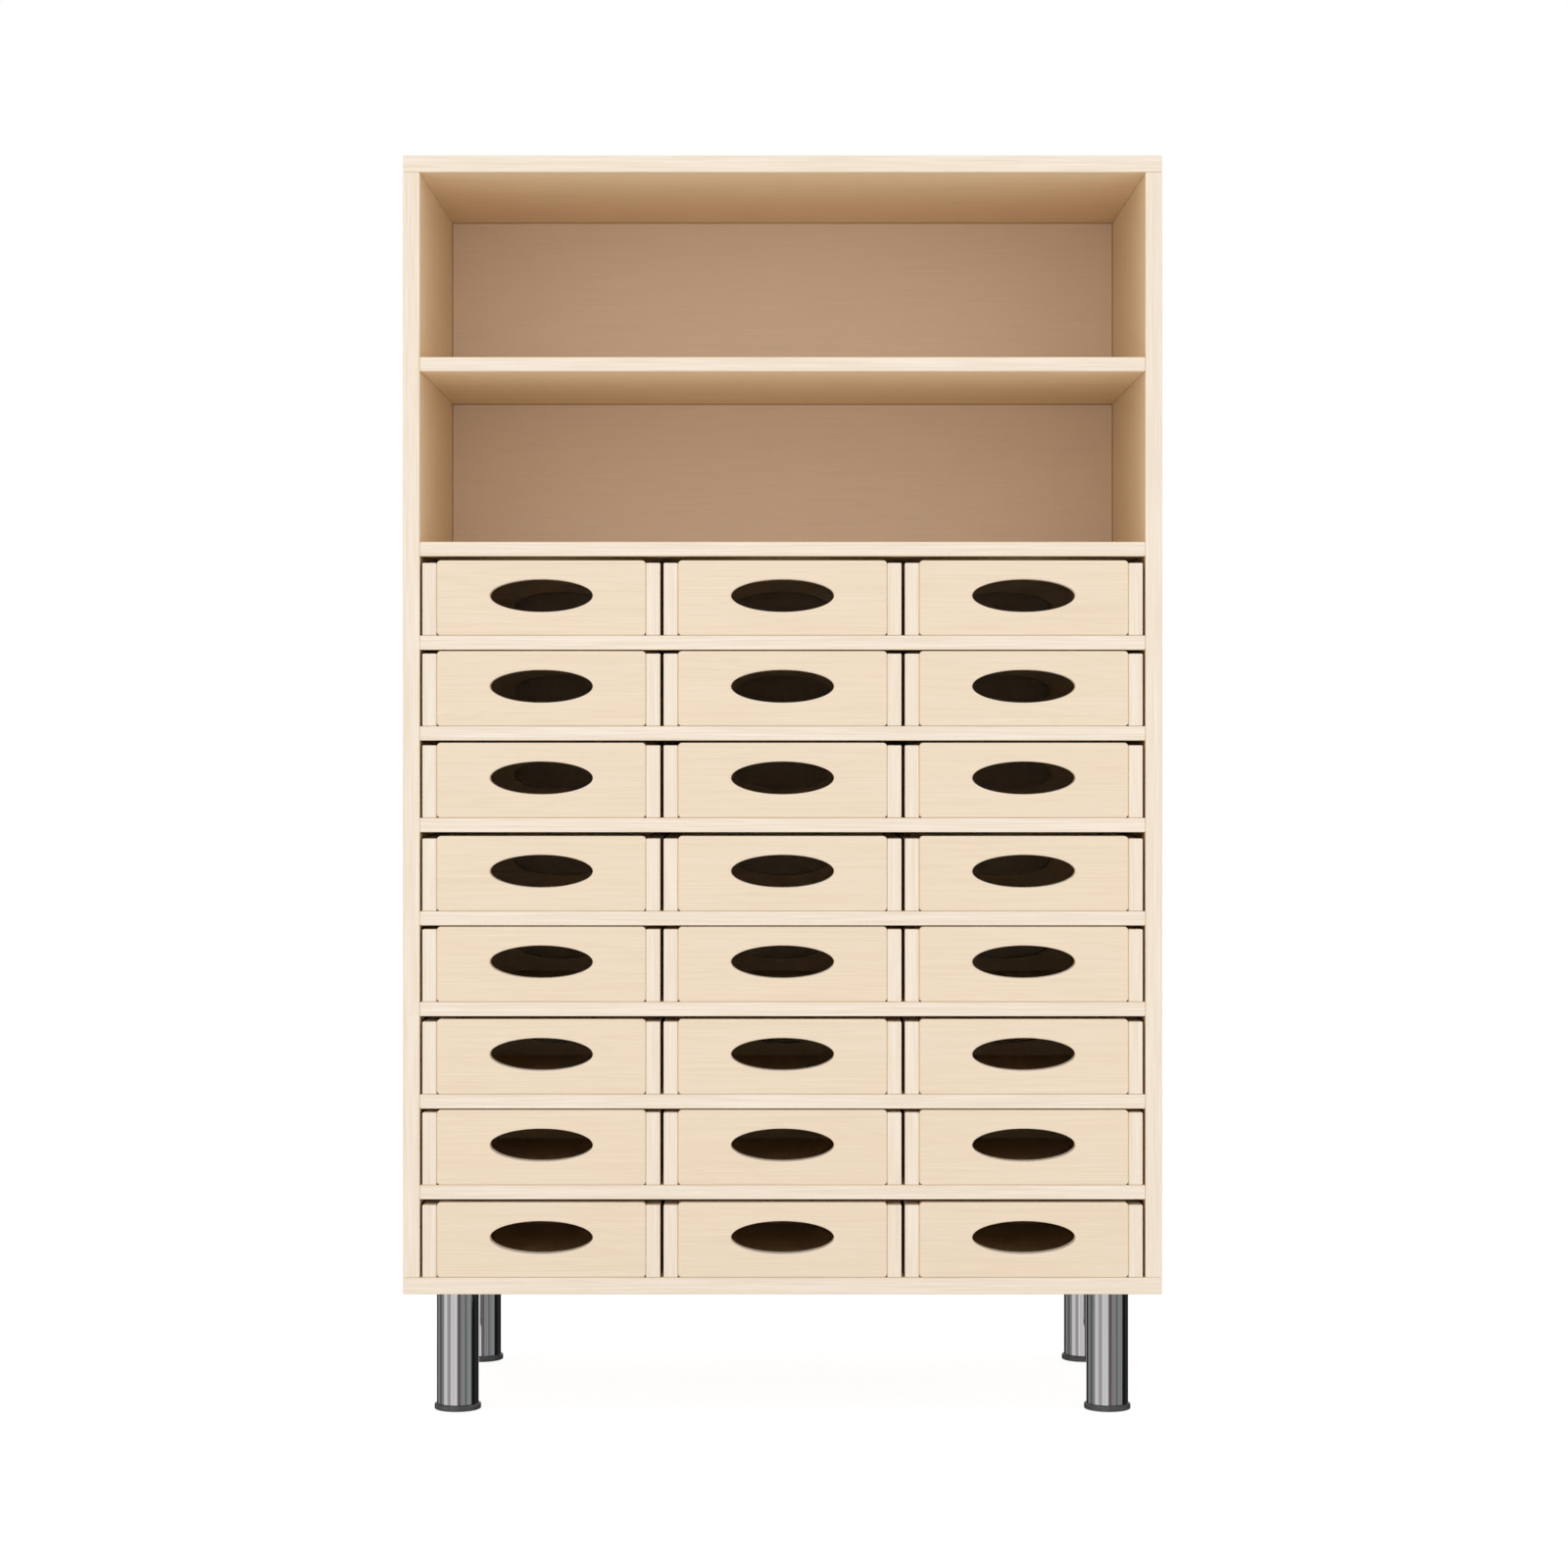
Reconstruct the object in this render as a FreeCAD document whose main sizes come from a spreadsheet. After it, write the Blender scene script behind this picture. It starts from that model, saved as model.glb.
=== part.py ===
import FreeCAD, Part
import os
import Sketcher

# Tray storage cabinet: a board carcass on four tube legs, with two open bays above eight
# rows of three wooden trays that stand side by side on full-width shelves.
# The origin is on the floor, under the middle of the cabinet. X runs to the right, seen from
# the front, Y to the back and Z up.

ROWS = range(1, 9)
COLUMNS = ("left", "middle", "right")
SIDES = {"left": -1, "right": 1}
ENDS = {"front": -1, "back": 1}

X_AXIS = FreeCAD.Vector(1, 0, 0)
Y_AXIS = FreeCAD.Vector(0, 1, 0)
Z_AXIS = FreeCAD.Vector(0, 0, 1)
UPRIGHT = FreeCAD.Rotation()
HALF_TURN = FreeCAD.Rotation(Z_AXIS, 180)
SAME_PLACE = 0.01

SIZES = [
    ("cabinet_width", 900, "over the side panels"),
    ("cabinet_depth", 400, "front edges to the back of the back panel"),
    ("panel_thickness", 20, "top, bottom and side panels"),
    ("shelf_thickness", 17, "all shelves"),
    ("edge_round", 1.5, "rounding of the panels' and shelves' edges"),
    ("upper_bay_height", 219, "clear height of the upper open bay"),
    ("lower_bay_height", 202, "clear height of the lower open bay"),
    ("headroom_row_1", 5.0, "free height over the fronts of the top row of trays"),
    ("headroom_row_2", 1.5, "second row"),
    ("headroom_row_3", 2.7, "third row"),
    ("headroom_row_4", 4.6, "fourth row"),
    ("headroom_row_5", 1.5, "fifth row"),
    ("headroom_row_6", 3.6, "sixth row"),
    ("headroom_row_7", 1.5, "seventh row"),
    ("headroom_row_8", 3.6, "bottom row"),
    ("back_thickness", 4, "back panel, let in flush at the back"),
    ("back_lap", 12, "how far the back panel lies over the panels round it"),
    ("back_play", 0.5, "clearance round the back panel in its rebate"),
    ("tray_side_gap", 3, "between an outer tray and the side panel"),
    ("tray_gap", 4, "between neighbouring trays"),
    ("tray_rear_space", 16, "between a tray and the back panel"),
    ("tray_board", 17, "thickness of the tray's four boards"),
    ("tray_front_height", 89, "front and back boards"),
    ("tray_side_drop", 3, "how much lower the side boards are"),
    ("tray_corner_round", 5, "corners of the front and back boards"),
    ("tray_edge_round", 1.5, "rounding of the tray boards' edges"),
    ("tray_base_thickness", 4, "plywood base of the tray"),
    ("tray_base_lift", 8, "underside of the boards to the groove for the base"),
    ("groove_depth", 6, "how deep the base stands in the boards"),
    ("groove_play", 0.2, "clearance of the base in its groove"),
    ("hand_hole_width", 122, "oval hand hole, long axis"),
    ("hand_hole_height", 39, "oval hand hole, short axis"),
    ("hand_hole_rise", 2.8, "centre of the hole over the middle of the board"),
    ("hand_hole_round", 1.5, "rounding of the hole's rims"),
    ("leg_height", 142, "floor to the underside of the bottom panel"),
    ("leg_side_inset", 61.5, "leg centre from the side of the cabinet"),
    ("leg_end_inset", 40, "leg centre from the front and from the back"),
    ("tube_diameter", 50, "leg tube, outside"),
    ("tube_wall", 1.5, "leg tube"),
    ("plate_diameter", 75, "round plate on top of the leg"),
    ("plate_thickness", 2, "round plate on top of the leg, let in flush in the bottom panel"),
    ("plate_play", 0.2, "clearance round the plate in its seat"),
    ("plate_round", 0.6, "lower edge of the plate"),
    ("foot_diameter", 55.5, "plastic foot under the tube"),
    ("foot_rim_height", 6.5, "visible rim of the foot"),
    ("foot_neck_diameter", 48.5, "narrow neck between the rim and the tube"),
    ("foot_neck_height", 0.8, "narrow neck between the rim and the tube"),
    ("foot_round", 2, "upper rounding of the rim"),
    ("foot_sole_round", 0.8, "lower rounding of the rim"),
    ("foot_plug_height", 20, "plug of the foot inside the tube"),
    ("foot_plug_play", 0.2, "clearance round the plug"),
    ("dowel_diameter", 8, "wooden dowels of the carcass"),
    ("dowel_length", 30, "wooden dowels of the carcass"),
    ("dowel_in_panel", 12, "part of the dowel that stands in the outer panel"),
    ("dowel_play", 0.1, "clearance round a dowel"),
    ("bore_end_play", 0.5, "how much deeper a bore goes than its dowel or screw"),
    ("dowel_chamfer", 1, "ends of the dowels"),
    ("dowel_inset", 60, "outer dowels from the front and from the back"),
    ("screw_play", 0.1, "clearance round a screw's shank and head"),
    ("recess_length", 3.6, "cross recess in a screw's head"),
    ("recess_width", 0.9, "cross recess in a screw's head"),
    ("recess_depth", 1.2, "cross recess in a screw's head"),
    ("leg_screw_circle", 62.5, "circle of the screws in a leg plate"),
    ("leg_screw_diameter", 4.5, "screws in the leg plates"),
    ("leg_screw_length", 16, "screws in the leg plates, under the head"),
    ("leg_screw_head", 8.4, "head diameter"),
    ("leg_screw_head_height", 2.4, "pan head"),
    ("leg_screw_head_round", 1.2, "rounding of the pan head"),
    ("back_screw_diameter", 3, "countersunk screws of the back panel"),
    ("back_screw_length", 16, "overall"),
    ("back_screw_head", 6, "head diameter"),
    ("back_screw_head_height", 1.6, "countersunk head"),
    ("back_screw_spread", 215, "back screws in the shelves, from the middle of the cabinet"),
]

INNER_WIDTH = "(Sizes.cabinet_width - 2 * Sizes.panel_thickness)"
INNER_DEPTH = "(Sizes.cabinet_depth - Sizes.back_thickness)"
LEFT = "(-Sizes.cabinet_width / 2)"
INNER_LEFT = f"(-{INNER_WIDTH} / 2)"
FRONT = "(-Sizes.cabinet_depth / 2)"
BACK_FACE = f"({FRONT} + {INNER_DEPTH})"
FLOOR_TOP = "(Sizes.leg_height + Sizes.panel_thickness)"
TRAY_WIDTH = f"(({INNER_WIDTH} - 2 * Sizes.tray_side_gap - 2 * Sizes.tray_gap) / 3)"
TRAY_LENGTH = f"({INNER_DEPTH} - Sizes.tray_rear_space)"
TRAY_END_LENGTH = f"({TRAY_WIDTH} - 2 * Sizes.tray_board)"
GROOVE_REACH = "(Sizes.groove_depth - Sizes.groove_play)"
FOOT_SEAT = "(Sizes.foot_rim_height + Sizes.foot_neck_height)"
TUBE_LENGTH = f"(Sizes.leg_height - {FOOT_SEAT})"
SIDE_BACK_SCREWS = 6

doc = FreeCAD.newDocument("TrayStorageCabinet")


def fill_sheet():
    """Write the driving sizes, in millimetres, one named cell each."""
    sheet = doc.addObject("Spreadsheet::Sheet", "Sizes")
    for row, (alias, value, note) in enumerate(SIZES, start=1):
        sheet.set(f"A{row}", alias)
        sheet.set(f"B{row}", str(value))
        sheet.setAlias(f"B{row}", alias)
        sheet.set(f"C{row}", note)
    doc.recompute()


def bind(piece, **expressions):
    """Tie properties of a piece to the sheet."""
    for name, expression in expressions.items():
        piece.setExpression(name, expression)


def place(piece, x="0", y="0", z="0", turn=UPRIGHT):
    """Put a piece at a place given by expressions."""
    piece.Placement = FreeCAD.Placement(FreeCAD.Vector(), turn)
    for axis, expression in (("x", x), ("y", y), ("z", z)):
        piece.setExpression(f".Placement.Base.{axis}", expression)
    return piece


def edges_where(shape, test):
    """Name the edges of a shape that pass the test."""
    return [f"Edge{number}" for number, edge in enumerate(shape.Edges, start=1) if test(edge)]


def block(body, name, length, width, height, x="0", y="0", z="0", cut=False):
    """Add a rectangular block to a body, or cut one from it."""
    kind = "PartDesign::SubtractiveBox" if cut else "PartDesign::AdditiveBox"
    feature = body.newObject(kind, name)
    bind(feature, Length=length, Width=width, Height=height)
    return place(feature, x, y, z)


def disc(body, name, radius, height, z="0", cut=False):
    """Add an upright cylinder on the body's axis, or cut one from it."""
    kind = "PartDesign::SubtractiveCylinder" if cut else "PartDesign::AdditiveCylinder"
    feature = body.newObject(kind, name)
    bind(feature, Radius=radius, Height=height)
    return place(feature, z=z)


def round_edges(body, base, name, radius, test=None):
    """Round the edges of the last feature that pass the test, or all of them."""
    doc.recompute()
    feature = body.newObject("PartDesign::Fillet", name)
    if test is None:
        feature.Base = (base, [""])
        feature.UseAllEdges = True
    else:
        feature.Base = (base, edges_where(base.Shape, test))
    bind(feature, Radius=radius)
    doc.recompute()
    return feature


def new_body(label):
    """Start a body whose name and label are the piece's own."""
    return doc.addObject("PartDesign::Body", label)


def board(label, length, width, height, edge_round="Sizes.edge_round"):
    """Make a board with all its edges rounded."""
    body = new_body(label)
    blank = block(body, f"{label}_blank", length, width, height)
    round_edges(body, blank, f"{label}_rounding", edge_round)
    return body


def copy_of(source, label, x="0", y="0", z="0", turn=UPRIGHT):
    """Put a copy of one piece, or of several that belong together, somewhere else."""
    copy = doc.addObject("Part::Compound", label)
    copy.Links = source if isinstance(source, list) else [source]
    return place(copy, x, y, z, turn)


def group(pieces, label):
    """Gather separate solids in one sub-part."""
    return copy_of(pieces, label)


def drilled(base, bores, label, x="0", y="0", z="0"):
    """Cut bores from a piece that is at its own origin, and put the result in its place."""
    result = doc.addObject("Part::Cut", label)
    result.Base = base
    result.Tool = group(bores, f"{label}_bores")
    return place(result, x, y, z)


def make_dowel():
    """Wooden dowel along Z with chamfered ends, and the bore that takes it."""
    radius = "Sizes.dowel_diameter / 2"
    below = "-Sizes.dowel_in_panel"
    body = new_body("dowel")
    stem = disc(body, "dowel_stem", radius, "Sizes.dowel_length", z=below)
    doc.recompute()
    chamfer = body.newObject("PartDesign::Chamfer", "dowel_ends")
    chamfer.Base = (stem, edges_where(stem.Shape, lambda edge: edge.Closed))
    bind(chamfer, Size="Sizes.dowel_chamfer")
    bore = doc.addObject("Part::Cylinder", "dowel_bore")
    bind(bore, Radius=f"{radius} + Sizes.dowel_play",
         Height="Sizes.dowel_length + 2 * Sizes.bore_end_play")
    place(bore, z=f"{below} - Sizes.bore_end_play")
    return body, bore


def cross_recess(body, name, top):
    """Cut the cross recess into the head of a screw that points down from its head."""
    depth = "Sizes.recess_depth"
    z = f"{top} - {depth}"
    arms = (("Sizes.recess_length", "Sizes.recess_width"), ("Sizes.recess_width", "Sizes.recess_length"))
    for number, (length, width) in enumerate(arms, start=1):
        block(body, f"{name}_recess_{number}", length, width, depth,
              f"-{length} / 2", f"-{width} / 2", z, cut=True)


def make_leg_screw():
    """Pan-head screw that points down from its seat at Z 0, and its pilot bore."""
    body = new_body("leg_screw")
    disc(body, "leg_screw_shank", "Sizes.leg_screw_diameter / 2", "Sizes.leg_screw_length",
         z="-Sizes.leg_screw_length")
    head = disc(body, "leg_screw_pan", "Sizes.leg_screw_head / 2", "Sizes.leg_screw_head_height")
    doc.recompute()
    top = head.Shape.BoundBox.ZMax
    round_edges(body, head, "leg_screw_crown", "Sizes.leg_screw_head_round",
                lambda edge: edge.Closed and abs(edge.BoundBox.ZMin - top) < SAME_PLACE)
    cross_recess(body, "leg_screw", "Sizes.leg_screw_head_height")
    bore = doc.addObject("Part::Cylinder", "leg_screw_bore")
    bind(bore, Radius="Sizes.leg_screw_diameter / 2 + Sizes.screw_play",
         Height="Sizes.leg_screw_length + Sizes.bore_end_play")
    place(bore, z="-Sizes.leg_screw_length - Sizes.bore_end_play")
    return body, bore


def make_back_screw():
    """Countersunk screw that points down from its flush head at Z 0, and its bore."""
    head_radius = "Sizes.back_screw_head / 2"
    shank_radius = "Sizes.back_screw_diameter / 2"
    body = new_body("back_screw")
    disc(body, "back_screw_shank", shank_radius,
         "Sizes.back_screw_length - Sizes.back_screw_head_height / 2",
         z="-Sizes.back_screw_length")
    head = body.newObject("PartDesign::AdditiveCone", "back_screw_head")
    bind(head, Radius1=shank_radius, Radius2=head_radius, Height="Sizes.back_screw_head_height")
    place(head, z="-Sizes.back_screw_head_height")
    cross_recess(body, "back_screw", "0")

    hole = new_body("back_screw_hole")
    disc(hole, "back_screw_pilot", f"{shank_radius} + Sizes.screw_play",
         "Sizes.back_screw_length + Sizes.bore_end_play",
         z="-Sizes.back_screw_length - Sizes.bore_end_play")
    sink = hole.newObject("PartDesign::AdditiveCone", "back_screw_sink")
    bind(sink, Radius1=f"{shank_radius} + Sizes.screw_play",
         Radius2=f"{head_radius} + Sizes.screw_play", Height="Sizes.back_screw_head_height")
    place(sink, z="-Sizes.back_screw_head_height")
    return body, hole


def make_end_board():
    """Front or back board of a tray: rounded corners, oval hand hole, groove for the base."""
    body = new_body("tray_end_board")
    blank = block(body, "tray_end_blank", TRAY_END_LENGTH, "Sizes.tray_board",
                  "Sizes.tray_front_height")
    corners = round_edges(body, blank, "tray_end_corners", "Sizes.tray_corner_round",
                          lambda edge: edge.BoundBox.YLength > SAME_PLACE)
    outline = round_edges(body, corners, "tray_end_outline", "Sizes.tray_edge_round",
                          lambda edge: edge.BoundBox.YLength < SAME_PLACE)
    block(body, "tray_end_groove", TRAY_END_LENGTH, "Sizes.groove_depth",
          "Sizes.tray_base_thickness + Sizes.groove_play",
          y="Sizes.tray_board - Sizes.groove_depth", z="Sizes.tray_base_lift", cut=True)
    doc.recompute()

    sketch = body.newObject("Sketcher::SketchObject", "hand_hole_oval")
    front_plane = next(item for item in body.Origin.OriginFeatures if item.Role == "XZ_Plane")
    sketch.AttachmentSupport = (front_plane, [""])
    sketch.MapMode = "FlatFace"
    box = outline.Shape.BoundBox
    middle = FreeCAD.Vector(box.XLength / 2, box.ZLength / 2, 0)
    oval = sketch.addGeometry(Part.Ellipse(middle, box.XLength / 4, box.ZLength / 4))
    sketch.exposeInternalGeometry(oval)
    long_axis, short_axis = oval + 1, oval + 2
    sketch.addConstraint(Sketcher.Constraint("Horizontal", long_axis))
    driven = (
        ("centre_x", ("DistanceX", -1, 1, oval, 3, middle.x), f"{TRAY_END_LENGTH} / 2"),
        ("centre_z", ("DistanceY", -1, 1, oval, 3, middle.y),
         "Sizes.tray_front_height / 2 + Sizes.hand_hole_rise"),
        ("width", ("Distance", long_axis, box.XLength / 2), "Sizes.hand_hole_width"),
        ("height", ("Distance", short_axis, box.ZLength / 2), "Sizes.hand_hole_height"),
    )
    for name, terms, expression in driven:
        number = sketch.addConstraint(Sketcher.Constraint(*terms))
        sketch.renameConstraint(number, name)
        sketch.setExpression(f"Constraints.{name}", expression)
    hole = body.newObject("PartDesign::Pocket", "hand_hole")
    hole.Profile = sketch
    hole.Type = "ThroughAll"
    round_edges(body, hole, "hand_hole_rims", "Sizes.hand_hole_round",
                lambda edge: isinstance(edge.Curve, Part.Ellipse))
    return body


def make_side_board():
    """Side board of a tray, full length, with a stopped groove for the base."""
    body = board("tray_side_board", "Sizes.tray_board", TRAY_LENGTH,
                 "Sizes.tray_front_height - Sizes.tray_side_drop", "Sizes.tray_edge_round")
    start = "(Sizes.tray_board - Sizes.groove_depth)"
    block(body, "tray_side_groove", "Sizes.groove_depth", f"{TRAY_LENGTH} - 2 * {start}",
          "Sizes.tray_base_thickness + Sizes.groove_play",
          start, start, "Sizes.tray_base_lift", cut=True)
    return body


def make_tray_base():
    """Plywood base of a tray; it stands in the grooves of all four boards."""
    start = f"(Sizes.tray_board - {GROOVE_REACH})"
    body = new_body("tray_base")
    block(body, "tray_base_sheet", f"{TRAY_WIDTH} - 2 * {start}", f"{TRAY_LENGTH} - 2 * {start}",
          "Sizes.tray_base_thickness", start, start, "Sizes.tray_base_lift")
    return body


def make_tray_boards():
    """All boards of one tray; its lower front left corner is the origin."""
    end_board = make_end_board()
    side_board = make_side_board()
    return [
        copy_of(side_board, "tray_left_board"),
        copy_of(side_board, "tray_right_board", TRAY_WIDTH, TRAY_LENGTH, turn=HALF_TURN),
        copy_of(end_board, "tray_front_board", "Sizes.tray_board"),
        copy_of(end_board, "tray_back_board", f"{TRAY_WIDTH} - Sizes.tray_board", TRAY_LENGTH,
                turn=HALF_TURN),
        make_tray_base(),
    ]


def find_levels():
    """Height of each row's floor, of each shelf's underside and of the top panel's underside."""
    floors = {}
    shelves = {}
    level = FLOOR_TOP
    for row in reversed(ROWS):
        floors[row] = level
        level += f" + Sizes.tray_front_height + Sizes.headroom_row_{row}"
        label = f"tray_shelf_{row - 1}" if row > ROWS[0] else "lower_bay_shelf"
        shelves[label] = level
        level += " + Sizes.shelf_thickness"
    shelves["upper_bay_shelf"] = f"{level} + Sizes.lower_bay_height"
    top = f"{shelves['upper_bay_shelf']} + Sizes.shelf_thickness + Sizes.upper_bay_height"
    return floors, shelves, top


def make_trays(floors):
    """Place a tray at each row and column, its front flush with the cabinet's."""
    boards = make_tray_boards()
    trays = []
    for row in ROWS:
        for number, column in enumerate(COLUMNS):
            x = f"{INNER_LEFT} + Sizes.tray_side_gap + {number} * ({TRAY_WIDTH} + Sizes.tray_gap)"
            trays.append(copy_of(boards, f"tray_{row}_{column}", x, FRONT, floors[row]))
    return trays


def make_panels(shelves, top):
    """Boards of the carcass in their places, still without bores."""
    lap = "Sizes.back_lap"
    thickness = "Sizes.panel_thickness"
    rebate_start = f"({thickness} - {lap})"
    panels = {}
    for label, z, rebate_z in (("top_panel", top, "0"),
                               ("bottom_panel", "Sizes.leg_height", rebate_start)):
        panel = board(f"{label}_blank", "Sizes.cabinet_width", "Sizes.cabinet_depth", thickness)
        block(panel, f"{label}_rebate", f"{INNER_WIDTH} + 2 * {lap}", "Sizes.back_thickness", lap,
              rebate_start, INNER_DEPTH, rebate_z, cut=True)
        panels[label] = place(panel, LEFT, FRONT, z)
    height = f"({top} - {FLOOR_TOP})"
    for side, sign in SIDES.items():
        label = f"side_panel_{side}"
        panel = board(f"{label}_blank", thickness, "Sizes.cabinet_depth", height)
        block(panel, f"{label}_rebate", lap, "Sizes.back_thickness", height,
              rebate_start if sign < 0 else "0", INNER_DEPTH, cut=True)
        x = LEFT if sign < 0 else f"{INNER_WIDTH} / 2"
        panels[label] = place(panel, x, FRONT, FLOOR_TOP)
    for label, z in shelves.items():
        shelf = board(f"{label}_blank", INNER_WIDTH, INNER_DEPTH, "Sizes.shelf_thickness")
        panels[label] = place(shelf, INNER_LEFT, FRONT, z)
    back = new_body("back_panel_blank")
    reach = f"({lap} - Sizes.back_play)"
    block(back, "back_panel_sheet", f"{INNER_WIDTH} + 2 * {reach}", "Sizes.back_thickness",
          f"{height} + 2 * {reach}")
    panels["back_panel"] = place(back, f"{INNER_LEFT} - {reach}", BACK_FACE,
                                 f"{FLOOR_TOP} - {reach}")
    return panels


def add_shelf_dowels(bores, shelves, dowel, dowel_bore):
    """Two dowels at each end of each shelf, across the joint with the side panel."""
    dowels = []
    for label, level in shelves.items():
        z = f"{level} + Sizes.shelf_thickness / 2"
        for side, sign in SIDES.items():
            turn = FreeCAD.Rotation(Y_AXIS, -90 * sign)
            for end, end_sign in ENDS.items():
                name = f"{label}_{side}_{end}"
                spot = (f"{sign} * {INNER_WIDTH} / 2",
                        f"{end_sign} * (Sizes.cabinet_depth / 2 - Sizes.dowel_inset)", z)
                dowels.append(copy_of(dowel, f"dowel_{name}", *spot, turn=turn))
                bore = copy_of(dowel_bore, f"bore_{name}", *spot, turn=turn)
                bores[label].append(bore)
                bores[f"side_panel_{side}"].append(bore)
    return group(dowels, "shelf_dowels")


def add_carcass_dowels(bores, top, dowel, dowel_bore):
    """Three dowels at each end of each side panel, from the top and the bottom panel."""
    turns = {"bottom_panel": (FLOOR_TOP, UPRIGHT),
             "top_panel": (top, FreeCAD.Rotation(X_AXIS, 180))}
    dowels = []
    for label, (z, turn) in turns.items():
        for side, sign in SIDES.items():
            for number, share in enumerate((-1, 0, 1), start=1):
                name = f"{label}_{side}_{number}"
                spot = (f"{sign} * (Sizes.cabinet_width - Sizes.panel_thickness) / 2",
                        f"{share} * (Sizes.cabinet_depth / 2 - Sizes.dowel_inset)", z)
                dowels.append(copy_of(dowel, f"dowel_{name}", *spot, turn=turn))
                bore = copy_of(dowel_bore, f"bore_{name}", *spot, turn=turn)
                bores[label].append(bore)
                bores[f"side_panel_{side}"].append(bore)
    return group(dowels, "carcass_dowels")


def add_back_screws(bores, shelves, top):
    """Countersunk screws through the back panel into every board that it lies on."""
    screw, hole = make_back_screw()
    turn = FreeCAD.Rotation(X_AXIS, -90)
    half_lap = "Sizes.back_lap / 2"
    spots = []
    levels = {label: f"{level} + Sizes.shelf_thickness / 2" for label, level in shelves.items()}
    levels["top_panel"] = f"{top} + {half_lap}"
    levels["bottom_panel"] = f"{FLOOR_TOP} - {half_lap}"
    for label, z in levels.items():
        for sign in SIDES.values():
            spots.append((label, f"{sign} * Sizes.back_screw_spread", z))
    height = f"({top} - {FLOOR_TOP})"
    for side, sign in SIDES.items():
        for number in range(SIDE_BACK_SCREWS):
            z = f"{FLOOR_TOP} + {2 * number + 1} * {height} / {2 * SIDE_BACK_SCREWS}"
            spots.append((f"side_panel_{side}", f"{sign} * ({INNER_WIDTH} / 2 + {half_lap})", z))
    screws = []
    for number, (label, x, z) in enumerate(spots, start=1):
        spot = (x, "Sizes.cabinet_depth / 2", z)
        screws.append(copy_of(screw, f"back_screw_{number}", *spot, turn=turn))
        bore = copy_of(hole, f"back_screw_hole_{number}", *spot, turn=turn)
        bores[label].append(bore)
        bores["back_panel"].append(bore)
    return group(screws, "back_screws")


def make_tube():
    """Leg tube, open at both ends, from the foot up to the plate."""
    body = new_body("leg_tube")
    disc(body, "leg_tube_outside", "Sizes.tube_diameter / 2", TUBE_LENGTH)
    disc(body, "leg_tube_inside", "Sizes.tube_diameter / 2 - Sizes.tube_wall", TUBE_LENGTH,
         cut=True)
    return body


def make_foot():
    """Plastic foot: a rounded rim, a neck that the tube stands on and a plug inside it."""
    body = new_body("leg_foot")
    rim = disc(body, "leg_foot_rim", "Sizes.foot_diameter / 2", "Sizes.foot_rim_height")
    doc.recompute()
    rim_top = rim.Shape.BoundBox.ZMax
    upper = round_edges(body, rim, "leg_foot_shoulder", "Sizes.foot_round",
                        lambda edge: edge.Closed and abs(edge.BoundBox.ZMax - rim_top) < SAME_PLACE)
    round_edges(body, upper, "leg_foot_sole", "Sizes.foot_sole_round",
                lambda edge: edge.Closed and abs(edge.BoundBox.ZMax) < SAME_PLACE)
    disc(body, "leg_foot_neck", "Sizes.foot_neck_diameter / 2", "Sizes.foot_neck_height",
         z="Sizes.foot_rim_height")
    disc(body, "leg_foot_plug",
         "Sizes.tube_diameter / 2 - Sizes.tube_wall - Sizes.foot_plug_play",
         "Sizes.foot_plug_height", z=FOOT_SEAT)
    return body


def make_plate():
    """Round plate that carries the tube, with its lower face at Z 0, and the seat it is let in."""
    body = new_body("leg_plate")
    plate = disc(body, "leg_plate_sheet", "Sizes.plate_diameter / 2", "Sizes.plate_thickness")
    round_edges(body, plate, "leg_plate_rim", "Sizes.plate_round",
                lambda edge: edge.Closed and edge.BoundBox.ZMax < SAME_PLACE)
    seat = doc.addObject("Part::Cylinder", "leg_plate_seat")
    bind(seat, Radius="Sizes.plate_diameter / 2 + Sizes.plate_play",
         Height="Sizes.plate_thickness")
    return body, seat


def make_legs(bores):
    """Four legs, each a plate, a tube and a foot, and the screws that hold the plates."""
    tube, foot = make_tube(), make_foot()
    plate, plate_seat = make_plate()
    screw, screw_bore = make_leg_screw()
    upside_down = FreeCAD.Rotation(X_AXIS, 180)
    reach = "Sizes.leg_screw_circle / 2 / sqrt(2)"
    nodes = []
    plates = {}
    screws = []
    for end, end_sign in ENDS.items():
        for side, sign in SIDES.items():
            corner = f"{end}_{side}"
            x = f"{sign} * (Sizes.cabinet_width / 2 - Sizes.leg_side_inset)"
            y = f"{end_sign} * (Sizes.cabinet_depth / 2 - Sizes.leg_end_inset)"
            nodes.append(copy_of(tube, f"leg_tube_{corner}", x, y, FOOT_SEAT))
            nodes.append(copy_of(foot, f"leg_foot_{corner}", x, y))
            label = f"leg_plate_{corner}"
            plates[label] = copy_of(plate, f"{label}_blank", x, y, "Sizes.leg_height")
            bores["bottom_panel"].append(
                copy_of(plate_seat, f"leg_plate_seat_{corner}", x, y, "Sizes.leg_height"))
            bores[label] = []
            for number, (across, along) in enumerate(((-1, -1), (1, -1), (1, 1), (-1, 1)), start=1):
                name = f"{corner}_{number}"
                spot = (f"{x} + {across} * {reach}", f"{y} + {along} * {reach}", "Sizes.leg_height")
                screws.append(copy_of(screw, f"leg_screw_{name}", *spot, turn=upside_down))
                bore = copy_of(screw_bore, f"leg_screw_bore_{name}", *spot, turn=upside_down)
                bores[label].append(bore)
                bores["bottom_panel"].append(bore)
    nodes.append(group(screws, "leg_screws"))
    return nodes, plates


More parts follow.
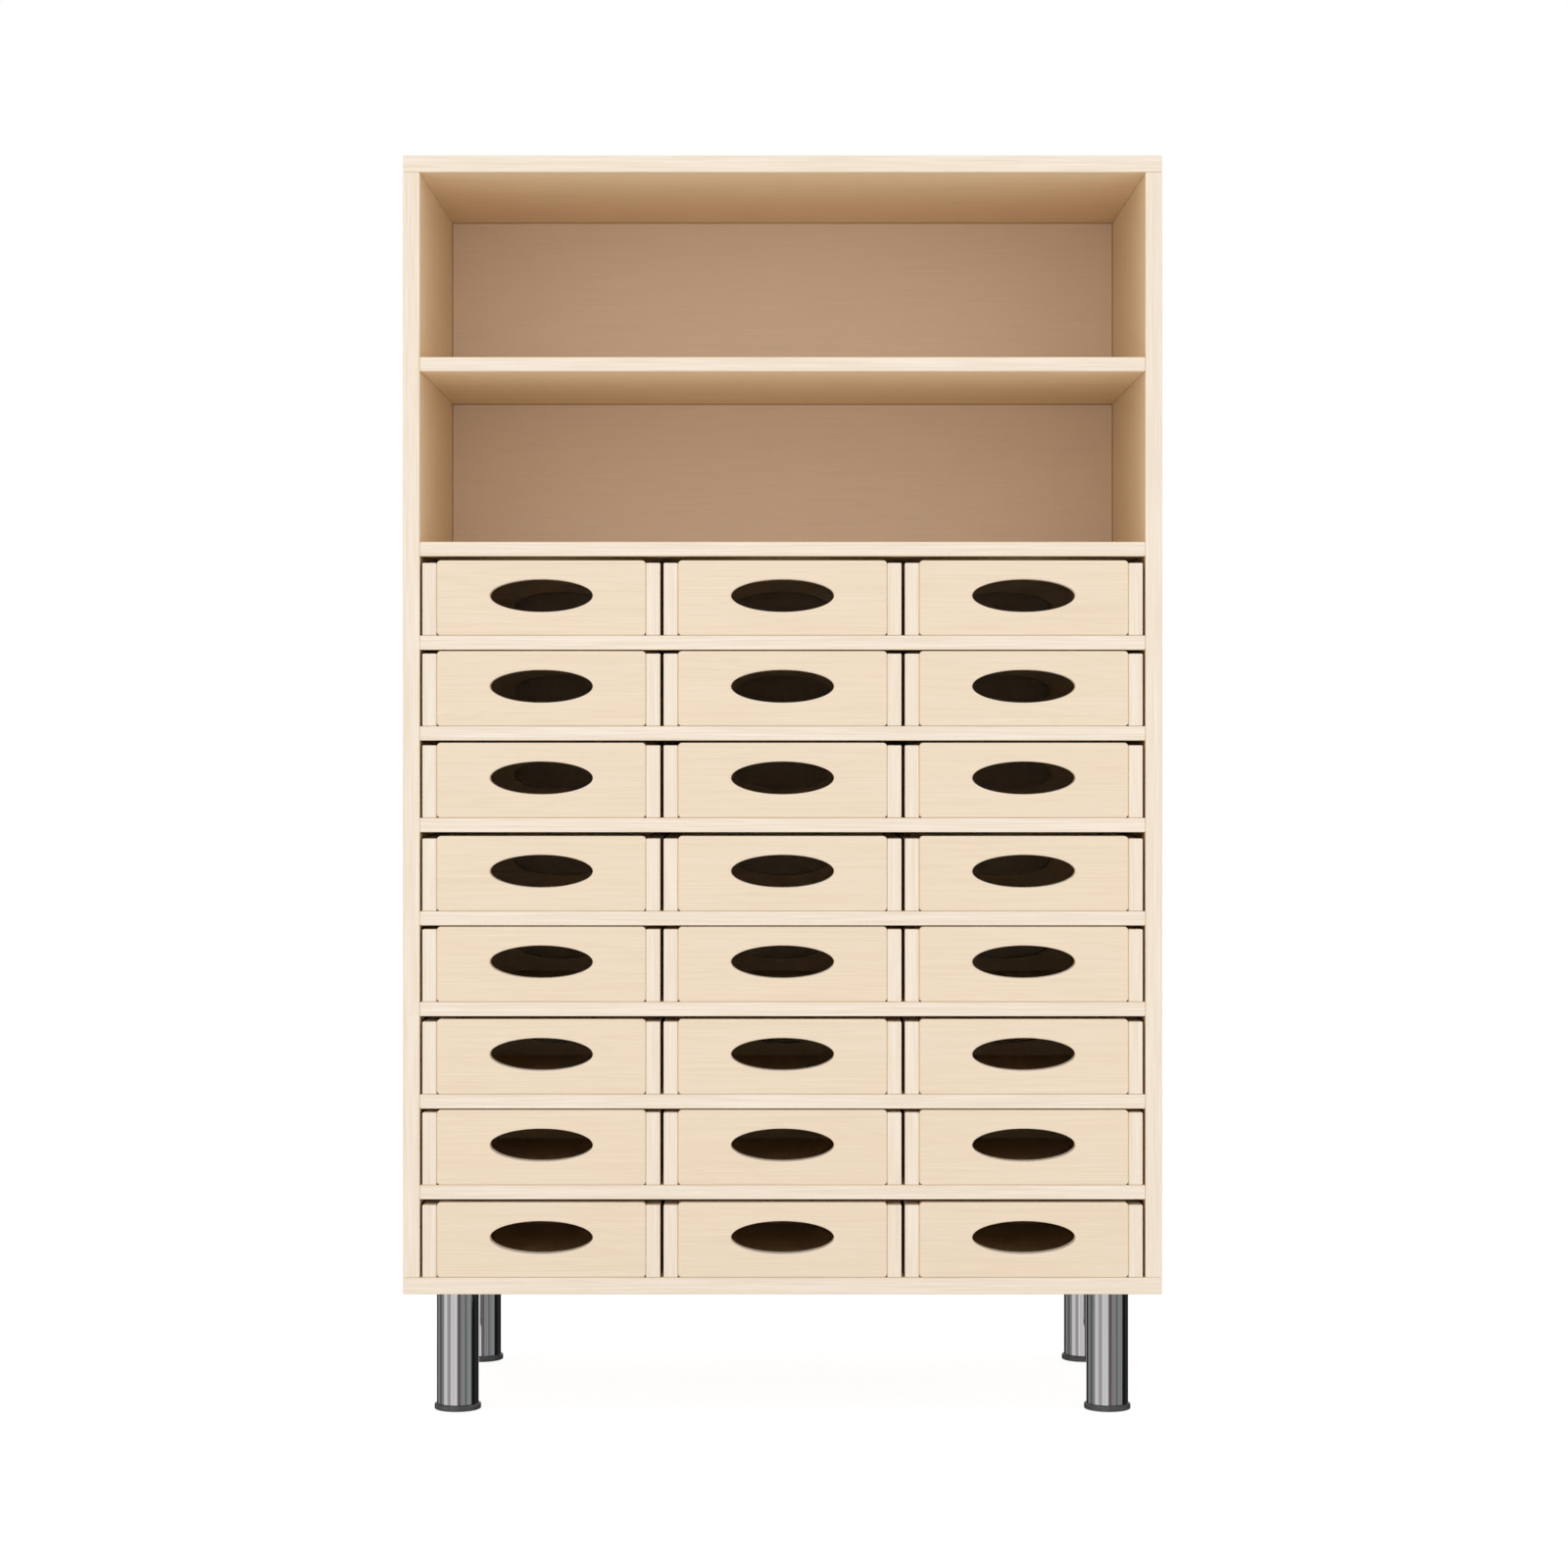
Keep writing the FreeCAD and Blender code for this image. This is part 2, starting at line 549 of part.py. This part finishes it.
def check(nodes):
    """Stop if anything in the document failed, cut nothing or is not a sound solid."""
    for item in doc.Objects:
        if "Invalid" in item.State or "Error" in item.State:
            raise RuntimeError(f"{item.Label} is {item.State}")
        cuts = "Subtractive" in item.TypeId or "Pocket" in item.TypeId
        if cuts and not item.Shape.Volume < item.BaseFeature.Shape.Volume:
            raise RuntimeError(f"{item.Label} cuts nothing")
    for node in nodes:
        if node.Shape.isNull() or not node.Shape.isValid() or not node.Shape.Solids:
            raise RuntimeError(f"{node.Label} has no sound shape")


def main():
    fill_sheet()
    floors, shelves, top = find_levels()
    panels = make_panels(shelves, top)
    bores = {label: [] for label in panels}
    dowel, dowel_bore = make_dowel()
    nodes = [
        add_shelf_dowels(bores, shelves, dowel, dowel_bore),
        add_carcass_dowels(bores, top, dowel, dowel_bore),
        add_back_screws(bores, shelves, top),
    ]
    leg_nodes, plates = make_legs(bores)
    nodes += leg_nodes
    nodes += [drilled(blank, bores[label], label) for label, blank in (panels | plates).items()]
    nodes += make_trays(floors)
    doc.recompute()
    check(nodes)
    os.makedirs("parts", exist_ok=True)
    for node in nodes:
        node.Shape.exportStep(f"parts/{node.Label}.step")
    solids = sum(len(node.Shape.Solids) for node in nodes)
    print(f"{len(nodes)} sub-parts with {solids} solids")


main()
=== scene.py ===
import math

import bpy
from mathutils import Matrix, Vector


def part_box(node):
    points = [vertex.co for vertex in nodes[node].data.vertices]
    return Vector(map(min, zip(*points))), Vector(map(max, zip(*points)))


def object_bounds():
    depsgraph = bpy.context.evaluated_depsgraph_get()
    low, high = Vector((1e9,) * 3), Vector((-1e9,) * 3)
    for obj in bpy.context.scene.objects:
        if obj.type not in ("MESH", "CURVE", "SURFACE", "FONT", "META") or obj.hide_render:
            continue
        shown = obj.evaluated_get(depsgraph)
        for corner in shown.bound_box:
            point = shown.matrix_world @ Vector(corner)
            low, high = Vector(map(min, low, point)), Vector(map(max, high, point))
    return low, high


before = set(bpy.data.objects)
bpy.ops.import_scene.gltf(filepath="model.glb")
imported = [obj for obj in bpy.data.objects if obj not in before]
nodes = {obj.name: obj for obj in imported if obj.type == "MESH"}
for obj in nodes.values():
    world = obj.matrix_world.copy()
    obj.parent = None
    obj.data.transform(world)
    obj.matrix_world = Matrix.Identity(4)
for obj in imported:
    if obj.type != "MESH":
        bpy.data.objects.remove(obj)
cad_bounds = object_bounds()

# Wooden tray cabinet on chrome legs. All pieces are the frame's own nodes. This script gives
# them their finishes, and adds the floor, the light and the camera.

MM = 0.001
X, Y, Z = 0, 1, 2

# Thickness of a tray's four upright boards, and the heights over its underside between which
# the faces belong to its base.
TRAY_BOARD = 17 * MM
TRAY_BASE = (7.5 * MM, 12.5 * MM)

# ---------------------------------------------------------------- shader helpers


def linear(*screen):
    """A colour of 0 to 255, as read off a screen, as the linear numbers that shaders take."""
    return tuple(((c / 255 + 0.055) / 1.055) ** 2.4 for c in screen)


def tinted(colour, *factors):
    """A colour with its channels multiplied."""
    return tuple(c * f for c, f in zip(colour, factors))


class Graph:
    """Adds and links the nodes of one material or world."""

    def __init__(self, tree):
        self.tree = tree
        tree.nodes.clear()

    def put(self, socket, value):
        """Link an output to a socket, or set the socket to a plain value."""
        if isinstance(value, bpy.types.NodeSocket):
            self.tree.links.new(value, socket)
        elif isinstance(value, tuple) and len(value) == 3 and socket.type == "RGBA":
            socket.default_value = (*value, 1)
        else:
            socket.default_value = value

    def node(self, kind, inputs=(), **settings):
        """Add a node. inputs pairs a socket's name or number with an output or a value."""
        made = self.tree.nodes.new(kind)
        for name, value in settings.items():
            setattr(made, name, value)
        for socket, value in dict(inputs).items():
            self.put(made.inputs[socket], value)
        return made

    def math(self, operation, *values, clamp=False):
        """The result of a Math node."""
        made = self.node("ShaderNodeMath", dict(enumerate(values)), operation=operation)
        made.use_clamp = clamp
        return made.outputs[0]

    def mix(self, factor, first, second):
        """Mix two colours."""
        made = self.node("ShaderNodeMix", data_type="RGBA")
        self.put(made.inputs["Factor"], factor)
        for name, value in (("A", first), ("B", second)):
            socket = next(s for s in made.inputs if s.name == name and s.type == "RGBA")
            self.put(socket, value)
        return next(s for s in made.outputs if s.type == "RGBA")

    def remap(self, value, low, high, to_low=0.0, to_high=1.0):
        """Map a range of values to another, clamped."""
        inputs = {"Value": value, "From Min": low, "From Max": high,
                  "To Min": to_low, "To Max": to_high}
        return self.node("ShaderNodeMapRange", inputs).outputs[0]

    def noise(self, vector, detail=2.0, roughness=0.5, distortion=0.0):
        """Noise at scale 1 of a vector that holds the scale."""
        inputs = {"Vector": vector, "Scale": 1.0, "Detail": detail, "Roughness": roughness,
                  "Distortion": distortion}
        return self.node("ShaderNodeTexNoise", inputs).outputs[0]

    def stretched(self, place, sizes, seed):
        """Coordinates in which a feature of the given sizes, in metres, is one unit."""
        inputs = {"Vector": place, "Scale": tuple(1 / size for size in sizes),
                  "Location": (seed * 7.31, seed * 3.17, seed * 5.73)}
        return self.node("ShaderNodeMapping", inputs).outputs[0]


def material(name):
    """A new material and its graph."""
    made = bpy.data.materials.new(name)
    made.use_nodes = True
    return made, Graph(made.node_tree)


def principled(graph, inputs):
    """The surface shader, linked to the output."""
    shader = graph.node("ShaderNodeBsdfPrincipled", inputs)
    graph.node("ShaderNodeOutputMaterial", {"Surface": shader.outputs[0]})
    return shader


def object_place(graph):
    """Coordinates of the object itself, in metres."""
    return graph.node("ShaderNodeTexCoord").outputs["Object"]


# ---------------------------------------------------------------- wood

FRONT_WOOD = linear(236, 218, 195)
# Warmer and deeper than the outside wood: painted shade of the cabinet's bays and the trays'
# insides.
INSIDE_SHADE_WOOD = linear(243, 219, 186)
EDGE_WOOD = linear(241, 228, 212)
BACK_WOOD = linear(242, 220, 197)
DOWEL_WOOD = linear(226, 196, 160)

# Each wood's colour, how deep its streaks are, width of its fine streaks in mm, strength of its
# fine and of its broad streaks, and strength of its flat-sawn figure. The kinds are the trays'
# fronts and backs, broad sides inside, whose warmer, deeper colour is painted shade, broad sides
# outside, boards' edges, the ends of the trays' side boards, the back panel's front, with painted
# shade along its joints, and its other faces, and the dowels.
WOODS = {
    "front": (FRONT_WOOD, 1.0, 1.1, 2.2, 0.6, 0.30),
    "face": (INSIDE_SHADE_WOOD, 1.3, 1.6, 1.8, 0.8, 0.25),
    "outer": (FRONT_WOOD, 1.1, 1.6, 2.0, 0.8, 0.35),
    "edge": (EDGE_WOOD, 1.5, 1.2, 3.4, 1.2, 0.0),
    "end": (EDGE_WOOD, 1.5, 1.2, 3.4, 1.2, 0.0),
    "back": (BACK_WOOD, 1.0, 1.8, 1.4, 0.3, 0.15),
    "rear": (BACK_WOOD, 1.0, 1.8, 1.4, 0.6, 0.30),
    "dowel": (DOWEL_WOOD, 1.0, 1.0, 1.5, 0.5, 0.0),
}

# Length along the grain and width across it of each layer of a wood's pattern. The width of the
# fine streaks is the wood's own.
FINE_LENGTH = 100 * MM
BAND = (350 * MM, 6 * MM)
TONE = (500 * MM, 60 * MM)
FLECK = (5 * MM, 0.5 * MM)
FIGURE = (450 * MM, 45 * MM)
PATCH = (180 * MM, 40 * MM)
FIGURE_LINES, FIGURE_SHARPNESS = 95.0, 3.0
FLECK_STRENGTH = 0.25

# What the slow changes of tone multiply the colour with, and what the deepest streak takes off
# it, channel by channel.
TONES = (1.035, 1.02, 1.00), (1.015, 1.04, 1.05)
STREAK_DEPTH = (0.055, 0.075, 0.115)

# Painted shade along a joint, in the corner where two boards meet: what it multiplies the wood's
# colour with, up to which distance from the joint it is full, and at which it ends.
BACK_JOINT_SHADE = (0.42, 0.30, 0.22), 0.8 * MM, 1.4 * MM
TRAY_JOINT_SHADE = (0.50, 0.40, 0.31), 0.4 * MM, 0.9 * MM


def along_grain(axis, length, width):
    """Feature sizes that are long along an axis and narrow across it."""
    sizes = [width] * 3
    sizes[axis] = length
    return sizes


def wood(name, kind, axis, seed):
    """Pale wood with fine streaks along an axis, faint figure and slow changes of tone."""
    colour, depth, fine_width, fine_strength, band_strength, figure_strength = WOODS[kind]
    made, graph = material(name)
    place = object_place(graph)

    def layer(number, length, width, **options):
        sizes = along_grain(axis, length, width)
        return graph.noise(graph.stretched(place, sizes, seed + number), **options)

    fine = layer(1, FINE_LENGTH, fine_width * MM, detail=2.0, roughness=0.6)
    band = layer(2, *BAND, detail=2.0, roughness=0.5)
    tone = layer(3, *TONE, detail=1.0)
    fleck = layer(4, *FLECK, detail=1.0)

    # Flat-sawn figure: contour lines of a slow field, shown only here and there.
    slow = layer(5, *FIGURE, detail=1.0, distortion=0.4)
    waves = graph.math("SINE", graph.math("MULTIPLY", slow, FIGURE_LINES))
    lines = graph.math("POWER", graph.math("MAXIMUM", waves, 0.0), FIGURE_SHARPNESS)
    patch = graph.remap(layer(6, *PATCH, detail=1.0), 0.48, 0.66)
    figure = graph.math("MULTIPLY", lines, patch)

    # How dark the pattern is at each point. Its mean stays at a half.
    start = 0.5 - (fine_strength + band_strength) / 2
    flecks = graph.remap(fleck, 0.62, 0.74)
    dark = graph.math("MULTIPLY_ADD", fine, fine_strength, start)
    dark = graph.math("MULTIPLY_ADD", band, band_strength, dark)
    dark = graph.math("MULTIPLY_ADD", figure, figure_strength, dark)
    dark = graph.math("MULTIPLY_ADD", flecks, FLECK_STRENGTH, dark, clamp=True)

    light_colour = graph.mix(tone, *(tinted(colour, *factors) for factors in TONES))
    dark_colour = tinted(colour, *(1 - share * depth for share in STREAK_DEPTH))
    shown = graph.mix(dark, light_colour, dark_colour)
    # The back panel's front, the trays' fronts and the ends of their side boards get painted
    # shade along their joints.
    if kind == "back":
        shown = with_joint_shade(graph, shown, colour, back_shade_lines(graph, place), BACK_JOINT_SHADE)
    elif kind in ("front", "end"):
        shown = with_joint_shade(graph, shown, colour, tray_shade_lines(graph, place), TRAY_JOINT_SHADE)
    bump = graph.node("ShaderNodeBump", {"Strength": 0.25, "Distance": 0.15 * MM,
                                         "Height": graph.math("SUBTRACT", 1.0, dark)})
    principled(graph, {
        "Base Color": shown,
        "Roughness": graph.remap(dark, 0.0, 1.0, 0.46, 0.58),
        "Specular IOR Level": 0.35,
        "Normal": bump.outputs[0],
    })
    return made


def with_joint_shade(graph, shown, colour, lines, joint):
    """Paint thin lines of shade along the joints. lines pairs a coordinate with the values that
    it has on a joint.
    """
    factors, full, clear = joint
    nearest = clear
    for coordinate, values in lines:
        for value in sorted(values):
            gap = graph.math("ABSOLUTE", graph.math("SUBTRACT", coordinate, value))
            nearest = graph.math("MINIMUM", nearest, gap)
    shade_mask = graph.remap(nearest, full, clear, 1.0, 0.0)
    return graph.mix(shade_mask, shown, tinted(colour, *factors))


def back_shade_lines(graph, place):
    """Lines of painted shade round the back panel, in the joint where it meets the boards in
    front of it.
    """
    half_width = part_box("upper_bay_shelf")[1].x
    levels = {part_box("top_panel")[0].z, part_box("bottom_panel")[1].z}
    for name in nodes:
        if "shelf" in name and "dowels" not in name:
            levels |= {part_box(name)[0].z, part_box(name)[1].z}
    x, _, z = graph.node("ShaderNodeSeparateXYZ", {0: place}).outputs
    return [(graph.math("ABSOLUTE", x), {half_width}), (z, levels)]


def tray_shade_lines(graph, place):
    """Lines of painted shade: the joints between the boards of the trays, and the trays' lowest
    edges.
    """
    sides, floors = set(), set()
    for name in nodes:
        if name.startswith("tray_") and "shelf" not in name:
            low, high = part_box(name)
            sides |= {round(abs(low.x + TRAY_BOARD), 5), round(abs(high.x - TRAY_BOARD), 5)}
            floors.add(round(low.z, 5))
    x, _, z = graph.node("ShaderNodeSeparateXYZ", {0: place}).outputs
    return [(graph.math("ABSOLUTE", x), sides), (z, floors)]


# ---------------------------------------------------------------- metal and plastic

# Sizes along X, Y and Z of the marks on each material.
HAIRLINES = (0.4 * MM, 0.4 * MM, 30 * MM)
SMUDGES = (25 * MM, 25 * MM, 40 * MM)
DRAW_LINES = (1.1 * MM, 1.1 * MM, 600 * MM)
STEEL_GRAIN = (0.5 * MM,) * 3
PLASTIC_GRAIN = (0.6 * MM,) * 3
PLASTIC_WEAR = (8 * MM,) * 3

CHROME_COLOURS = (0.66, 0.66, 0.67), (0.94, 0.94, 0.95)
STEEL_COLOURS = (0.50, 0.50, 0.51), (0.66, 0.66, 0.67)
PLASTIC_COLOURS = linear(64, 67, 69), linear(75, 78, 80)


def chrome():
    """Polished chrome with upright draw lines, hairlines and faint smudges."""
    made, graph = material("chrome")
    place = object_place(graph)
    hairlines = graph.noise(graph.stretched(place, HAIRLINES, 21), detail=3.0)
    smudges = graph.noise(graph.stretched(place, SMUDGES, 22), detail=2.0)
    draw = graph.noise(graph.stretched(place, DRAW_LINES, 23), detail=2.0)
    rough = graph.math("MULTIPLY_ADD", smudges, 0.05, 0.03)
    rough = graph.math("MULTIPLY_ADD", hairlines, 0.03, rough)
    principled(graph, {
        "Base Color": graph.mix(graph.remap(draw, 0.32, 0.68), *CHROME_COLOURS),
        "Metallic": 1.0,
        "Roughness": rough,
    })
    return made


def screw_steel():
    """Zinc-plated steel with a fine cloudy grain."""
    made, graph = material("screw_steel")
    place = object_place(graph)
    grain = graph.noise(graph.stretched(place, STEEL_GRAIN, 31), detail=4.0)
    principled(graph, {
        "Base Color": graph.mix(grain, *STEEL_COLOURS),
        "Metallic": 0.5,
        "Roughness": graph.remap(grain, 0.3, 0.7, 0.28, 0.45),
    })
    return made


def foot_plastic():
    """Dark moulded plastic, slightly glossy, with a fine grain and cloudy wear."""
    made, graph = material("foot_plastic")
    place = object_place(graph)
    grain = graph.noise(graph.stretched(place, PLASTIC_GRAIN, 41), detail=3.0)
    wear = graph.noise(graph.stretched(place, PLASTIC_WEAR, 42), detail=3.0)
    bump = graph.node("ShaderNodeBump", {"Strength": 0.3, "Distance": 0.05 * MM, "Height": grain})
    principled(graph, {
        "Base Color": graph.mix(wear, *PLASTIC_COLOURS),
        "Roughness": graph.remap(grain, 0.3, 0.7, 0.24, 0.36),
        "Specular IOR Level": 0.8,
        "Normal": bump.outputs[0],
    })
    return made


# ---------------------------------------------------------------- which finish goes where

GRAIN_NAMES = {X: "x", Y: "y", Z: "z"}
SMOOTH_ANGLE = 35
wood_store = {}


def wood_for(kind, axis):
    """The material of a kind of wood surface with its grain along an axis, made once."""
    key = f"{kind}_{GRAIN_NAMES[axis]}"
    if key not in wood_store:
        wood_store[key] = wood(f"wood_{key}", kind, axis, 10 * len(wood_store) + 1)
    return wood_store[key]


def finish_faces(piece, choose):
    """Give each face the material that choose(centre, main axis of its normal) names."""
    mesh = piece.data
    mesh.materials.clear()
    slots = {}
    for face in mesh.polygons:
        normal = [abs(c) for c in face.normal]
        chosen = choose(face.center, normal.index(max(normal)))
        if chosen not in slots:
            slots[chosen] = len(slots)
            mesh.materials.append(wood_for(*chosen))
        face.material_index = slots[chosen]


HALF_WIDTH, TOP = cad_bounds[1].x, cad_bounds[1].z
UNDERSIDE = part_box("bottom_panel")[0].z
BACK_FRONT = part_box("back_panel")[0].y


def shaded_inside_or_outer(centre):
    """The kind of wood of a panel's broad side: inside the cabinet the deeper tone that is
    painted shade, outside the plain tone.
    """
    outside = (abs(centre.x) > HALF_WIDTH - MM or centre.z > TOP - MM
               or centre.z < UNDERSIDE + MM)
    return "outer" if outside else "face"


def flat_board(centre, axis):
    """Panels and shelves that lie flat, with the grain along X."""
    if axis == Z:
        return shaded_inside_or_outer(centre), X
    return "edge", X if axis == Y else Y


def upright_board(centre, axis):
    """Side panels, with the grain along Z."""
    if axis == X:
        return shaded_inside_or_outer(centre), Z
    return "edge", Z if axis == Y else Y


def back_board(centre, axis):
    """Back panel: its front, which shows in the bays, and the rest."""
    return "back" if centre.y < BACK_FRONT + MM else "rear", X


def tray_rule(name):
    """The rule for a tray's five boards."""
    low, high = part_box(name)
    board = TRAY_BOARD - MM
    base_low, base_high = (low.z + height for height in TRAY_BASE)

    def choose(centre, axis):
        from_side = min(centre.x - low.x, high.x - centre.x)
        from_end = min(centre.y - low.y, high.y - centre.y)
        # Broad sides inside the tray, and its base, take the "face" wood, whose deeper tone is
        # painted shade.
        if axis == X:
            return ("face" if from_side > board else "outer"), Y
        if axis == Z and base_low < centre.z < base_high:
            return "face", X
        if from_side < TRAY_BOARD:
            return ("end", Z) if axis == Y else ("edge", Y)
        if axis == Z:
            return "edge", X
        return ("face" if from_end > board else "front"), X

    return choose


def finish_whole(piece, finish):
    """Give the whole piece one material."""
    piece.data.materials.clear()
    piece.data.materials.append(finish)


def shade_smooth(piece):
    """Smooth shading, with the sharper edges kept sharp."""
    piece.data.shade_smooth()
    piece.data.set_sharp_from_angle(angle=math.radians(SMOOTH_ANGLE))


CHROME, PLASTIC, STEEL = chrome(), foot_plastic(), screw_steel()
TURNED_PARTS = {"leg_tube": CHROME, "leg_plate": CHROME, "leg_foot": PLASTIC,
                "leg_screws": STEEL, "back_screws": STEEL}

for name, piece in nodes.items():
    finish = next((f for start, f in TURNED_PARTS.items() if name.startswith(start)), None)
    if finish:
        finish_whole(piece, finish)
        shade_smooth(piece)
    elif "dowels" in name:
        finish_whole(piece, wood_for("dowel", X if name == "shelf_dowels" else Z))
    elif name.startswith("side_panel"):
        finish_faces(piece, upright_board)
    elif name == "back_panel":
        finish_faces(piece, back_board)
    elif "shelf" in name or name in ("top_panel", "bottom_panel"):
        finish_faces(piece, flat_board)
    else:
        finish_faces(piece, tray_rule(name))

# ---------------------------------------------------------------- floor

FLOOR_SIZE, FLOOR_DROP = 40, 0.5 * MM
FLOOR_GREY = 0.92
FLOOR_GLOW, GLOW_SHARE = 1.07, 0.84


def make_floor():
    """A wide pale floor. To the camera it is white and keeps a faint shadow of the cabinet."""
    bpy.ops.mesh.primitive_plane_add(size=FLOOR_SIZE, location=(0, 0, -FLOOR_DROP))
    floor = bpy.context.object
    floor.name = "floor"
    made, graph = material("floor")
    path = graph.node("ShaderNodeLightPath").outputs
    diffuse = graph.node("ShaderNodeBsdfDiffuse", {"Color": (FLOOR_GREY,) * 3}).outputs[0]
    white = {"Color": (1.0, 1.0, 1.0), "Strength": FLOOR_GLOW}
    glow = graph.node("ShaderNodeEmission", white).outputs[0]
    lit = graph.node("ShaderNodeMixShader", {0: GLOW_SHARE, 1: diffuse, 2: glow}).outputs[0]
    seen = graph.math("MAXIMUM", path["Is Camera Ray"], path["Is Transmission Ray"])
    shown = graph.node("ShaderNodeMixShader", {0: seen, 1: diffuse, 2: lit}).outputs[0]
    graph.node("ShaderNodeOutputMaterial", {"Surface": shown})
    floor.data.materials.append(made)
    floor.visible_glossy = False


make_floor()

# ---------------------------------------------------------------- light

# What polished metal mirrors: a ring of upright studio panels round the cabinet. Each entry is
# the angle where a panel ends, its brightness and its tint. The angles are in degrees round the
# cabinet, 0 in front of it and 90 at its right, and the first panel starts behind it, at -180.
BLACK, DARK, DIM, MIDDLE, LIGHT, BRIGHT = 0.01, 0.03, 0.12, 0.25, 0.36, 0.65
PLAIN, WARM, COOL = (1.0, 0.98, 0.98), (1.03, 0.95, 0.98), (0.94, 1.02, 1.01)
PANELS = [
    (-168, BRIGHT, PLAIN), (-132, DARK, PLAIN), (-114, MIDDLE, PLAIN), (-92, DIM, COOL),
    (-76, MIDDLE, PLAIN), (-54, BRIGHT, PLAIN), (-34, LIGHT, WARM), (2, BRIGHT, PLAIN),
    (20, DIM, WARM), (46, MIDDLE, WARM), (54, DIM, COOL), (86, MIDDLE, COOL),
    (114, BLACK, PLAIN), (134, DARK, PLAIN), (166, BLACK, PLAIN), (180, BRIGHT, PLAIN),
]
PANEL_BLUR = 3.0

DOME_LEVEL = 1.03
KEY_POWER = 22.0
KEY_SIZE = (5.0, 2.0)
KEY_PLACE = (0, -4.8, 2.7)
KEY_TILT = 68


def make_key():
    """A wide soft light in front of the cabinet and above the camera."""
    data = bpy.data.lights.new("key", "AREA")
    data.shape = "RECTANGLE"
    data.size, data.size_y = KEY_SIZE
    data.energy = KEY_POWER
    key = bpy.data.objects.new("key", data)
    key.location = KEY_PLACE
    key.rotation_euler = (math.radians(KEY_TILT), 0, 0)
    key.visible_glossy = False
    key.visible_camera = False
    bpy.context.scene.collection.objects.link(key)


def make_world():
    """White to the camera, an even dome as light, and the ring of panels to polished metal."""
    world = bpy.data.worlds.new("studio")
    bpy.context.scene.world = world
    world.use_nodes = True
    graph = Graph(world.node_tree)
    way = graph.node("ShaderNodeTexCoord").outputs["Generated"]
    x, y, _ = graph.node("ShaderNodeSeparateXYZ", {0: way}).outputs
    turn = graph.math("ARCTAN2", x, graph.math("MULTIPLY", y, -1.0))
    share = graph.math("MULTIPLY_ADD", turn, 1 / math.tau, 0.5)
    bands = graph.node("ShaderNodeValToRGB", {0: share})
    stops = bands.color_ramp.elements
    # Each panel gives the ramp two stops of its own colour, just inside its ends.
    placed, start = [], -180
    for end, level, tint in PANELS:
        colour = tinted(tint, level, level, level)
        placed.append((max(start + PANEL_BLUR / 2, -180), colour))
        placed.append((min(end - PANEL_BLUR / 2, 180), colour))
        start = end
    while len(stops) < len(placed):
        stops.new(0.5)
    for stop, (angle, colour) in zip(stops, placed):
        stop.position = (angle + 180) / 360
        stop.color = (*colour, 1)

    path = graph.node("ShaderNodeLightPath").outputs
    seen = graph.math("MAXIMUM", path["Is Camera Ray"], path["Is Transmission Ray"])
    colour = graph.mix(path["Is Glossy Ray"], (DOME_LEVEL,) * 3, bands.outputs[0])
    colour = graph.mix(seen, colour, (1.0, 1.0, 1.0))
    background = graph.node("ShaderNodeBackground", {"Color": colour, "Strength": 1.0})
    graph.node("ShaderNodeOutputWorld", {"Surface": background.outputs[0]})


make_key()
make_world()

# ---------------------------------------------------------------- camera

FRAME_PIXELS = 1600
VANISHING_POINT = (798.5, 750.0)
CAMERA_PLACE = (0.0, -4.2, 0.805)
SENSOR_WIDTH, LENS = 36, 77.5


def make_camera():
    """Straight-on view. The vanishing point lies off the middle of the frame, hence the shift."""
    data = bpy.data.cameras.new("camera")
    data.sensor_width = SENSOR_WIDTH
    data.lens = LENS
    data.shift_x = (FRAME_PIXELS / 2 - VANISHING_POINT[0]) / FRAME_PIXELS
    data.shift_y = (VANISHING_POINT[1] - FRAME_PIXELS / 2) / FRAME_PIXELS
    camera = bpy.data.objects.new("camera", data)
    camera.location = CAMERA_PLACE
    camera.rotation_euler = (math.pi / 2, 0, 0)
    bpy.context.scene.collection.objects.link(camera)
    bpy.context.scene.camera = camera


make_camera()
bpy.context.scene.view_settings.view_transform = "Standard"
